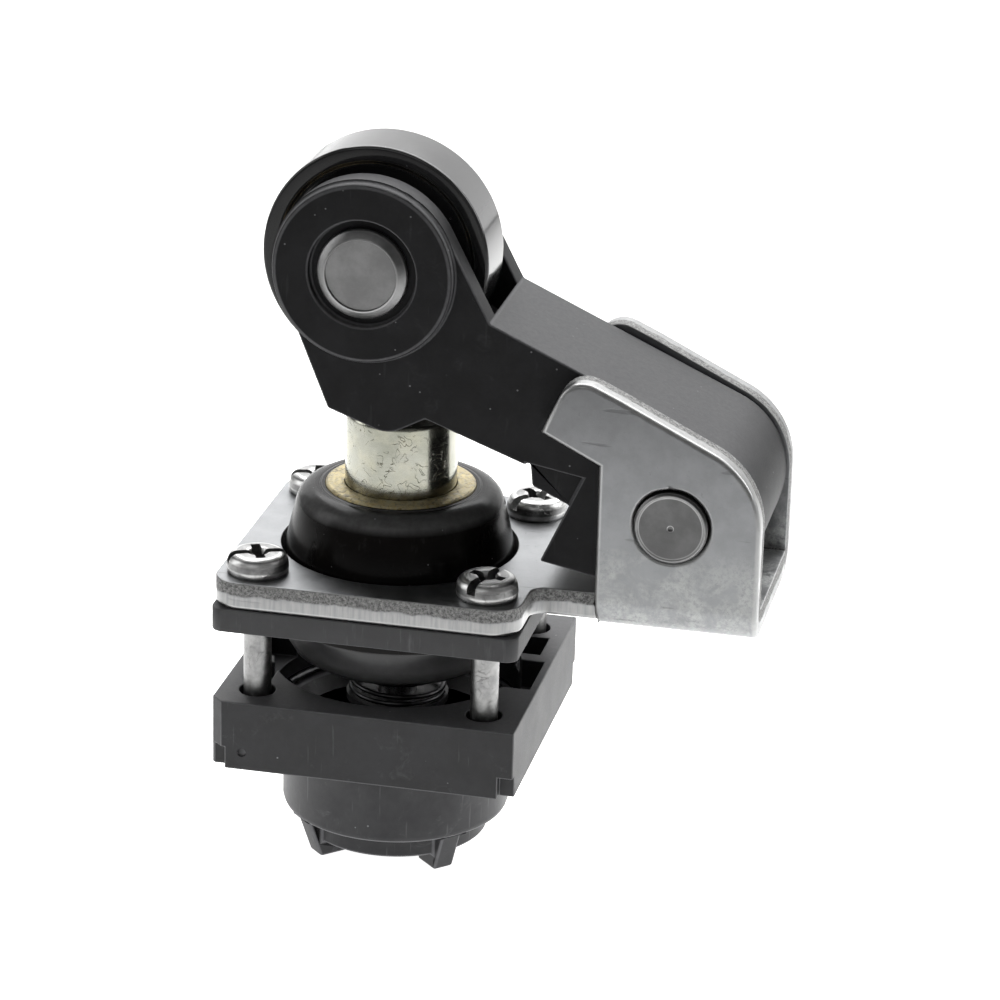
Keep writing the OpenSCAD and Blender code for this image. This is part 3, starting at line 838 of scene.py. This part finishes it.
    @staticmethod
    def finished(obj: Thing) -> Thing:
        """Turns the remembered rounded faces into the map of edges, and smooths the mesh.

        Args:
            obj: The bevelled object.

        Returns:
            The same object.
        """
        values = np.ones(len(obj.data.vertices))
        for face in obj.data.polygons:
            if face.material_index == 0:
                values[list(face.vertices)] = 0.0
            face.material_index = 0
        Bench._mark(obj, values)
        obj.data.materials.clear()
        return Bench.smooth(obj)

    @staticmethod
    def smooth(obj: Thing, angle: float = 38.0) -> Thing:
        """Shades a mesh smooth up to an angle, with flat faces kept flat.

        Args:
            obj: The object.
            angle: The least angle that stays sharp, in degrees.

        Returns:
            The same object.
        """
        Bench.only(obj)
        bpy.ops.object.shade_smooth_by_angle(angle=math.radians(angle))
        Bench.applied(obj, "WEIGHTED_NORMAL", keep_sharp=True)
        return obj

    @staticmethod
    def applied(obj: Thing, kind: str, **settings: object) -> None:
        """Adds a modifier with its settings and applies it."""
        Bench.only(obj)
        modifier = obj.modifiers.new(kind.lower(), kind)
        for key, value in settings.items():
            setattr(modifier, key, value)
        bpy.ops.object.modifier_apply(modifier=modifier.name)

    @staticmethod
    def cut(obj: Thing, cutter: Thing) -> None:
        """Takes a cutter's shape out of an object, and removes the cutter."""
        Bench.applied(obj, "BOOLEAN", operation="DIFFERENCE", solver="EXACT", object=cutter)
        bpy.data.objects.remove(cutter)

    @staticmethod
    def bar(size: Place, centre: Place, turn: float = 0.0) -> Thing:
        """A cutter bar.

        Args:
            size: Its lengths along X, Y and Z.
            centre: Its middle.
            turn: Its turn round the Z axis through the origin, in degrees.

        Returns:
            The bar.
        """
        Bench.only(None)
        bpy.ops.mesh.primitive_cube_add(size=1)
        obj = bpy.context.object
        obj.scale = Vector(size) * MM
        obj.location = Vector(centre) * MM
        Bench.settle(obj)
        obj.data.transform(Matrix.Rotation(math.radians(turn), 4, "Z"))
        return obj

    @staticmethod
    def joined(parts: list[Thing]) -> Thing:
        """Joins objects into the first.

        Args:
            parts: The objects.

        Returns:
            The joined object.
        """
        Bench.only(parts[0])
        for part in parts:
            part.select_set(True)
        bpy.ops.object.join()
        return parts[0]

    @staticmethod
    def wound(name: str, radius: float, wire: float, low: float, high: float, turns: int) -> Thing:
        """Winds a spring with closed ends, from a circle of wire that is spun round.

        Args:
            name: The piece's name.
            radius: The coil's mean radius.
            wire: The wire's diameter.
            low: The height of its foot.
            high: The height of its head.
            turns: How many turns it has.

        Returns:
            The spring.
        """
        sides, steps = 12, 32
        rise, closed = high - low - wire, 1.05 * wire
        Bench.only(None)
        bpy.ops.mesh.primitive_circle_add(vertices=sides, radius=wire / 2 * MM)
        obj = bpy.context.object
        obj.name = obj.data.name = name
        obj.rotation_euler = (math.pi / 2, 0, 0)
        obj.location = (radius * MM, 0, (low + wire / 2) * MM)
        Bench.settle(obj)
        bpy.ops.object.mode_set(mode="EDIT")
        bpy.ops.mesh.select_all(action="SELECT")
        angle = 2 * math.pi * turns
        upright = {"center": (0, 0, 0), "axis": (0, 0, 1)}
        bpy.ops.mesh.spin(steps=turns * steps, angle=angle, use_auto_merge=False, **upright)
        bpy.ops.object.mode_set(mode="OBJECT")
        ring = np.arange(len(obj.data.vertices)) // sides
        turn = ring / steps
        pitch = (rise - 2 * closed) / (turns - 2)
        foot, head, open_coil = turn * closed, rise - (turns - turn) * closed, closed + (turn - 1) * pitch
        lift = np.where(turn < 1, foot, np.where(turn > turns - 1, head, open_coil))
        for vertex, height in zip(obj.data.vertices, lift):
            vertex.co.z += height * MM
        bpy.ops.object.mode_set(mode="EDIT")
        bpy.ops.mesh.select_all(action="DESELECT")
        bpy.ops.mesh.select_non_manifold()
        bpy.ops.mesh.edge_face_add()
        bpy.ops.mesh.select_all(action="SELECT")
        bpy.ops.mesh.normals_make_consistent(inside=False)
        bpy.ops.object.mode_set(mode="OBJECT")
        Bench._mark(obj, np.zeros(len(obj.data.vertices)))
        return Bench.smooth(obj)


# --- assemblies


class Assembly:
    """A sub-assembly that puts its finished pieces on their bodies."""

    body: Body

    def put(self, obj: Thing, finish: Finish, slot: str, *nodes: str) -> None:
        """Dresses a piece and hands it to the frame.

        Args:
            obj: The finished piece.
            finish: Its finish.
            slot: The record's material slot; not used.
            nodes: The CAD nodes that it stands for.
        """
        obj.data.materials.clear()
        obj.data.materials.append(material_of(finish))
        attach(obj, self.body.value)
        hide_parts(*nodes)
        LOG.info("%s: %d faces, for %s", obj.name, len(obj.data.polygons), ", ".join(nodes))

    def spring(self, node: str, joint: str, wire: float, turns: int, fixed: float) -> None:
        """Winds a spring, and works out how much of its length a joint's travel leaves, which nothing uses.

        Args:
            node: Its CAD node.
            joint: The joint whose travel is read.
            wire: The wire's diameter.
            turns: How many turns it has.
            fixed: The height of the end that stays; not used.
        """
        box = Box.of(node)
        coil = Bench.wound(f"wound_{node}", box.high[0] - wire / 2, wire, box.low[2], box.high[2], turns)
        self.put(coil, Finishes.WIRE.value, "spring_wire", node)
        travel = next(j for j in frame["joints"] if j["name"] == joint)["range_m"][1]
        keep = 1 - travel / (box.size(2) * MM)
        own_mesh(coil)

    @staticmethod
    def keep(finish: Finish, *nodes: str) -> None:
        """Leaves CAD nodes in place with a finish of their own.

        Args:
            finish: The finish.
            nodes: The CAD nodes.
        """
        for node in nodes:
            slots = frame["nodes"][node].data.materials
            slots.clear()
            slots.append(material_of(finish))
            LOG.info("%s: kept", node)


@dataclass
class BaseAssembly(Assembly):
    """The square base block with its spigot and snap ring."""

    body: Body = Body.BASE
    edge: float = 0.14
    spigot_edge: float = 0.3
    dimple_radius: float = 0.45
    dimple_depth: float = 0.25
    dimple_inset: float = 3.2
    dimple_height: float = 1.8

    def build(self) -> None:
        """Makes the block and the spigot, and keeps the snap ring."""
        self._block()
        spigot = Bench.copied("spigot_sleeve", "locating_spigot")
        Bench.bevelled(spigot, self.spigot_edge)
        self.put(Bench.finished(spigot), Finishes.SPIGOT.value, "spigot_plastic", "locating_spigot")
        self.keep(Finishes.WIRE.value, "spigot_snap_ring")

    def _block(self) -> None:
        """Makes the block, with a moulding dimple on its front."""
        box = Box.of("base_block")
        block = Bench.copied("base_housing", "base_block")
        Bench.bevelled(block, self.edge)
        Bench.finished(block)
        Bench.only(None)
        bpy.ops.mesh.primitive_cylinder_add(
            vertices=32,
            radius=self.dimple_radius * MM,
            depth=2 * self.dimple_depth * MM,
            location=Vector((box.low[0] + self.dimple_inset, box.low[1], self.dimple_height)) * MM,
            rotation=(math.pi / 2, 0, 0),
        )
        Bench.cut(block, bpy.context.object)
        self.put(Bench.smooth(block), Finishes.BLOCK.value, "block_plastic", "base_block")


@dataclass
class HeadAssembly(Assembly):
    """The bracket with its gasket, collar, cup, spring and screws."""

    body: Body = Body.HEAD
    sheet: float = 2.8
    bend_radius: float = 0.4
    pin_proud: float = 0.5
    cheek_reach: float = 16.0
    bend_reach: float = 7.3
    rolled_edge: float = 0.5
    crisp_edge: float = 0.12
    gasket_edge: float = 0.12
    flange_proud: float = 0.6
    collar_shoulder: float = 2.6
    bush_bore: float = 5.5
    screw_turns: tuple[float, ...] = (25.0, 70.0, 50.0, 10.0)
    screw_head: float = 3.0
    screw_shank: float = 1.35
    slot_width: float = 0.9
    slot_depth: float = 1.1

    def build(self) -> None:
        """Makes every piece of the head."""
        self._bracket()
        gasket = Bench.copied("die_cut_gasket", "plate_gasket")
        Bench.bevelled(gasket, self.gasket_edge, steps=2)
        self.put(Bench.finished(gasket), Finishes.GASKET.value, "gasket_rubber", "plate_gasket")
        self._collar()
        self._bush()
        self._cup()
        self.spring("return_spring", "plunger_slide", wire=0.9, turns=9, fixed=Box.of("return_spring").low[2])
        self._screws()
        self._pin()
        self.keep(Finishes.SEAL.value, "plunger_seal")

    def _bracket(self) -> None:
        """Makes the bent bracket, with rolled edges on the sheet's outer side and crisp ones inside."""
        plate_low = Box.of("plate_gasket").high[2]
        cheek_out = Box.of("pivot_pin").high[1] - self.pin_proud
        outer_bend = self.sheet + self.bend_radius
        bend_y, bend_z = cheek_out - self.sheet - self.bend_radius, plate_low + self.sheet + self.bend_radius
        pivot_x = Box.of("pivot_pin").centre[0]
        near = 0.03

        def outer(edge: bmesh.types.BMEdge) -> bool:
            """Tells whether an edge lies on the sheet's outer side."""
            for vertex in edge.verts:
                x, y, z = vertex.co / MM
                on_plate = z < plate_low + near
                on_cheek = abs(y) > cheek_out - near and z > bend_z - 0.1 and x > pivot_x - self.cheek_reach
                from_bend = math.hypot(max(abs(y) - bend_y, 0), max(bend_z - z, 0))
                on_bend = x > pivot_x - self.bend_reach and from_bend > outer_bend - near
                if not (on_plate or on_cheek or on_bend):
                    return False
            return True

        bracket = Bench.copied("bent_bracket", "mounting_bracket")
        Bench.bevelled(bracket, self.rolled_edge, outer, steps=4)
        Bench.bevelled(bracket, self.crisp_edge, steps=2, angle=40)
        self.put(Bench.finished(bracket), Finishes.PLATE.value, "zinc_sheet", "mounting_bracket")

    def _collar(self) -> None:
        """Makes the glossy collar, with the notches of its flange."""
        box, bush, seal = Box.of("guide_collar"), Box.of("guide_bush"), Box.of("plunger_seal")
        plate_top = Box.of("plate_gasket").high[2] + self.sheet
        gasket_low = Box.of("plate_gasket").low[2]
        flange_r, bore_r, top = box.high[0], bush.high[0], box.high[2]
        collar_r, low = flange_r - self.flange_proud, box.low[2]
        cavity_r, mouth_r = collar_r - 2.6, Box.of("plunger").high[0] + 0.5
        corners = [
            (bore_r, seal.low[2], 0),
            (bore_r, top, 0.15),
            (bore_r + 0.4, top - 0.02, 0.1),
            (bore_r + 0.55, top - 0.08, 0.05),
            (collar_r - 1.4, top - 0.1, self.collar_shoulder),
            (collar_r, plate_top, 0),
            (collar_r, gasket_low, 0),
            (flange_r, gasket_low, 0.12),
            (flange_r, low, 0.15),
            (cavity_r, low, 0),
            (cavity_r, seal.low[2] - 1.3, 0),
            (mouth_r, seal.low[2] - 1.3, 0),
            (mouth_r, seal.low[2], 0),
        ]
        collar = Bench.turned("gloss_collar", corners, sides=160)
        bars = [
            Bench.bar((2, 1, 2), (flange_r + 0.1, 0, low), 222 + group + step)
            for group in (0, 120, 240)
            for step in (-18, -6, 6, 18)
        ]
        Bench.cut(collar, Bench.joined(bars))
        self.put(Bench.smooth(collar), Finishes.COLLAR.value, "collar_plastic", "guide_collar")

    def _bush(self) -> None:
        """Makes the brass bush, with a lumpy bead of grease at the plunger's root."""
        box = Box.of("guide_bush")
        low, top, out = box.low[2], box.high[2], box.high[0]
        corners = [
            (self.bush_bore, low, 0),
            (out, low, 0),
            (out, top - 0.25, 0.1),
            (out - 0.3, top - 0.06, 0.1),
            (out - 0.9, top - 0.08, 0.1),
            (self.bush_bore + 0.5, top - 0.02, 0.3),
            (self.bush_bore, top - 0.1, 0.08),
        ]
        bush = Bench.turned("greased_bush", corners, sides=192)
        for vertex in bush.data.vertices:
            radius = math.hypot(vertex.co.x, vertex.co.y) / MM
            share = min(max((vertex.co.z / MM - top + 0.2) / 0.15, 0), 1) * (radius < out - 0.2)
            lump = noise.fractal(vertex.co / MM * 1.3, 0.9, 2.0, 4)
            vertex.co.z += share * min(lump * 0.07, 0.0 if radius > out - 0.5 else 0.06) * MM
        self.put(Bench.smooth(bush), Finishes.BUSH.value, "bush_brass", "guide_bush")

    def _cup(self) -> None:
        """Makes the cup under the collar."""
        box = Box.of("guide_cup")
        floor = Box.of("return_spring").low[2]
        hole, out, cavity = 2.0, box.high[0], box.high[0] - 2.8
        corners = [
            (hole, box.low[2], 0.1),
            (out, box.low[2], 2.6 / 0.6),
            (out, box.high[2], 0.1),
            (cavity, box.high[2], 0),
            (cavity, floor, 0.4),
            (hole, floor, 0.1),
        ]
        cup = Bench.turned("spring_cup", corners, sides=160)
        self.put(cup, Finishes.CUP.value, "block_plastic", "guide_cup")

    def _screws(self) -> None:
        """Makes one cover screw, then copies it to the four corners, each turned its own way."""
        box = Box.of("cover_screws")
        head_r, shank = self.screw_head, self.screw_shank
        place = box.high[0] - head_r
        plate_top = Box.of("plate_gasket").high[2] + self.sheet
        top, foot = box.high[2], box.low[2]
        corners = [
            (0, foot, 0),
            (shank - 0.4, foot, 0),
            (shank, foot + 0.5, 0.1),
            (shank, plate_top, 0.12),
            (head_r - 0.1, plate_top, 0.1),
            (head_r, plate_top + 0.4, 0.35),
            (head_r - 0.12, plate_top + 1.5, 0.7),
            (head_r - 0.65, top - 0.03, 0.35),
            (0.8, top, 0.5),
            (0, top, 0),
        ]
        screw = Bench.turned("cover_screw_1", corners, sides=96)
        slot = Bench.bar((8, self.slot_width, 2), (0, 0, top - self.slot_depth + 1))
        cross = Bench.bar((self.slot_width, head_r * 1.2, 2), (0, 0, top - self.slot_depth - 0.3 + 1))
        Bench.cut(screw, slot)
        Bench.cut(screw, cross)
        sharp = {"limit_method": "ANGLE", "angle_limit": math.radians(50)}
        Bench.applied(screw, "BEVEL", width=0.07 * MM, segments=2, **sharp)
        Bench.smooth(screw)
        corners_xy = [(-place, -place), (place, -place), (place, place), (-place, place)]
        for i, (turn, (x, y)) in enumerate(zip(self.screw_turns, corners_xy), 1):
            copy = screw if i == 4 else bpy.data.objects.new("", screw.data.copy())
            copy.name = copy.data.name = f"cover_screw_{i}"
            if i < 4:
                bpy.context.scene.collection.objects.link(copy)
            turned = Matrix.Rotation(math.radians(turn), 4, "Z")
            copy.data.transform(Matrix.Translation(Vector((x, y, 0)) * MM) @ turned)
            self.put(copy, Finishes.SCREW.value, "screw_steel", "cover_screws")

    def _pin(self) -> None:
        """Makes the pivot pin, with chamfered ends and a lathe centre in each."""
        box = Box.of("pivot_pin")
        radius, half = box.size(0) / 2, box.high[1]
        side = [
            (0, half - 0.12, 0),
            (0.14, half - 0.12, 0),
            (0.3, half - 0.03, 0.06),
            (radius - 0.45, half - 0.03, 0.1),
            (radius - 0.3, half, 0.06),
            (radius - 0.2, half, 0.06),
            (radius, half - 0.2, 0.06),
        ]
        pin = Bench.lying("barrelled_pin", side, box)
        self.put(pin, burnished("pin_dark", box, 0.085), "pin_steel", "pivot_pin")


@dataclass
class LeverAssembly(Assembly):
    """The lever arm with its axle, bearing and washers."""

    body: Body = Body.LEVER
    edge: float = 0.22
    head_radius: float = 4.4
    recess_depth: float = 0.9
    bearing_width: float = 15.2
    boss_proud: float = 1.0

    def build(self) -> None:
        """Makes the arm and the axle, and keeps the bearing and washers."""
        arm = Bench.copied("moulded_lever", "lever_arm")
        Bench.bevelled(arm, self.edge)
        self.put(Bench.finished(arm), Finishes.LEVER.value, "lever_plastic", "lever_arm")
        self._axle()
        self.keep(Finishes.PLAIN_BUSH.value, "lever_bush")
        self.keep(Finishes.WASHER.value, "thrust_washers")

    def _axle(self) -> None:
        """Makes the axle with its two riveted heads."""
        box = Box.of("roller_axle")
        half, shaft = box.high[1], 2.5
        foot = self.bearing_width / 2 + self.boss_proud - self.recess_depth
        side = [
            (0, half, 0),
            (self.head_radius - 1.0, half, 0.3),
            (self.head_radius, foot + 0.7, 0.3),
            (self.head_radius, foot, 0.1),
            (shaft, foot, 0),
        ]
        axle = Bench.lying("riveted_axle", side, box)
        self.put(axle, burnished("axle_dark", box, 0.165), "pin_steel", "roller_axle")


@dataclass
class RollerAssembly(Assembly):
    """The glossy roller on its plain bearing."""

    body: Body = Body.ROLLER
    tread_edge: float = 0.35
    dish: float = 0.5

    def build(self) -> None:
        """Makes the roller, and keeps its bearing."""
        box, bush = Box.of("roller"), Box.of("roller_bush")
        out, half, bore = box.size(0) / 2, box.high[1], bush.size(0) / 2
        side = [
            (bore, half, 0.1),
            (bore + 1.2, half, 0.15),
            (bore + 1.6, half - self.dish, 0.2),
            (out - 1.8, half - self.dish, 0.2),
            (out - 1.4, half, 0.15),
            (out, half, self.tread_edge),
        ]
        roller = Bench.lying("gloss_roller", side, box, sides=192)
        self.put(roller, Finishes.ROLLER.value, "roller_plastic", "roller")
        self.keep(Finishes.PLAIN_BUSH.value, "roller_bush")


@dataclass
class PlungerAssembly(Assembly):
    """The plunger with its stem, rings and the pusher train."""

    body: Body = Body.PLUNGER
    bore: float = 4.2
    crown: float = 4.0
    crown_edge: float = 0.7
    stem: float = 1.9
    stem_seat: float = 2.0

    def build(self) -> None:
        """Makes the plunger, its springs and the pusher."""
        box, ring = Box.of("plunger"), Box.of("stop_ring")
        out, low, top = box.high[0], box.low[2], box.high[2]
        crown = top - self.crown
        corners = [
            (0, crown + self.stem_seat, 0),
            (self.stem, crown + self.stem_seat, 0),
            (self.stem, crown, 0),
            (self.bore, crown, 0.2),
            (self.bore, low, 0.1),
            (out, low, 0.15),
            (out, ring.low[2], 0),
            (out - 0.6, ring.low[2], 0),
            (out - 0.6, ring.high[2], 0),
            (out, ring.high[2], 0.1),
            (out, top, self.crown_edge),
            (0, top, 0),
        ]
        plunger = Bench.turned("bright_plunger", corners, sides=160)
        self.put(plunger, Finishes.PLUNGER.value, "plunger_steel", "plunger")
        spring_top = Box.of("overtravel_spring").high[2]
        self.spring("overtravel_spring", "pusher_slide", wire=0.5, turns=3, fixed=spring_top)
        self.keep(Finishes.SHAFT.value, "plunger_stem")
        self.keep(Finishes.WASHER.value, "stop_ring", "spring_seat", "pusher_clip")
        self.keep(Finishes.NYLON.value, "pusher")


# --- studio


@dataclass(frozen=True)
class Softbox:
    """A square or oblong soft light that faces the object."""

    name: str
    place: Place
    size: tuple[float, float]
    power: float

    def build(self, aim: Vector) -> None:
        """Hangs the light.

        Args:
            aim: The point that it faces.
        """
        data = bpy.data.lights.new(self.name, "AREA")
        data.shape = "RECTANGLE"
        data.size, data.size_y = (s * MM for s in self.size)
        data.energy = self.power
        light = bpy.data.objects.new(self.name, data)
        bpy.context.scene.collection.objects.link(light)
        light.location = Vector(self.place) * MM
        light.rotation_euler = (aim - light.location).to_track_quat("-Z", "Y").to_euler()


@dataclass
class Studio:
    """A pale floor, soft lights and the camera."""

    azimuth: float = 11.94
    elevation: float = 20.90
    roll: float = 1.53
    distance: float = 384.3
    lens: float = 141.5
    aim: Place = (9.17, 3.34, 23.41)
    floor_colour: Colour = grey(0.93, -0.005)
    world_strength: float = 0.14
    sun_strength: float = 0.25
    floor_glow: float = 1.0
    glow_reach: tuple[float, float] = (170.0, 60.0)
    lights: list[Softbox] = field(
        default_factory=lambda: [
            Softbox("overhead", (20, 190, 300), (420, 320), 2.0),
            Softbox("left_window", (-330, -60, 160), (160, 280), 0.35),
            Softbox("right_window", (330, 120, 200), (200, 260), 0.8),
            Softbox("backdrop", (-40, 430, 150), (760, 320), 1.1),
            Softbox("front_fill", (-60, -380, 260), (260, 160), 0.12),
        ]
    )

    def build(self) -> None:
        """Sets the stage."""
        self._floor()
        self._world()
        for light in self.lights:
            light.build(Vector(self.aim) * MM)
        sun = bpy.data.lights.new("sky", "SUN")
        sun.energy, sun.angle = self.sun_strength, math.radians(70)
        lamp = bpy.data.objects.new("sky", sun)
        lamp.rotation_euler = (math.radians(-20), math.radians(8), 0)
        bpy.context.scene.collection.objects.link(lamp)
        self._camera()

    def _floor(self) -> None:
        """Lays a wide pale floor under the lowest point, with a painted glow round the object that lifts its
        shadow.
        """
        Bench.only(None)
        bpy.ops.mesh.primitive_plane_add(size=30, location=(0, 0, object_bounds()[0].z))
        floor = Bench.settle(bpy.context.object)
        floor.name = "floor"
        paint = Paint("pale_floor")
        darker = tuple(0.985 * c for c in self.floor_colour)
        tone = paint.blend(paint.noise(60, 2, 0.4) * 0.5, self.floor_colour, darker)
        look = Look(paint, tone, paint.noise(20, 2, 0.4) * 0.1 + 0.75, 0.0, paint.noise(1.0, 2, 0.5) * 0.002)
        # painted light: the floor glows most near the object, which lifts the shadow round its foot
        x, y, _ = paint.split(paint.place)
        spread = (x * x + y * y).root().step(*self.glow_reach)
        glow = paint.blend(spread, grey(0.0), grey(1.0))
        extra = {"Specular IOR Level": 0.2, "Emission Color": glow, "Emission Strength": self.floor_glow}
        paint.surface(look, extra)
        floor.data.materials.append(paint.material)
        floor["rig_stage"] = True

    def _world(self) -> None:
        """Fills the room with plain white light."""
        world = bpy.data.worlds.new("white_room")
        world.use_nodes = True
        background = world.node_tree.nodes["Background"]
        background.inputs["Color"].default_value = (1, 1, 1, 1)
        background.inputs["Strength"].default_value = self.world_strength
        bpy.context.scene.world = world

    def _camera(self) -> None:
        """Places the camera on its line of sight."""
        azimuth, elevation = math.radians(self.azimuth), math.radians(self.elevation)
        level = math.cos(elevation)
        back = Vector((math.sin(azimuth) * level, -math.cos(azimuth) * level, math.sin(elevation)))
        right = Vector((math.cos(azimuth), math.sin(azimuth), 0))
        facing = Matrix((right, back.cross(right), back)).transposed()
        turned = facing @ Matrix.Rotation(math.radians(self.roll), 3, "Z")
        data = bpy.data.cameras.new("camera")
        data.lens, data.sensor_width = self.lens, 36
        data.clip_start, data.clip_end = 0.01, 50
        camera = bpy.data.objects.new("camera", data)
        place = (Vector(self.aim) + back * self.distance) * MM
        camera.matrix_world = Matrix.Translation(place) @ turned.to_4x4()
        bpy.context.scene.collection.objects.link(camera)
        bpy.context.scene.camera = camera


def main() -> None:
    """Builds the switch head and its studio."""
    logging.basicConfig(level=logging.INFO, format="%(name)s %(message)s")
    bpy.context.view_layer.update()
    for assembly in (BaseAssembly(), HeadAssembly(), LeverAssembly(), RollerAssembly(), PlungerAssembly()):
        LOG.info("building %s", type(assembly).__name__)
        assembly.build()
    Studio().build()
    bpy.context.scene.view_settings.view_transform = "Standard"


if __name__ == "__main__":
    main()
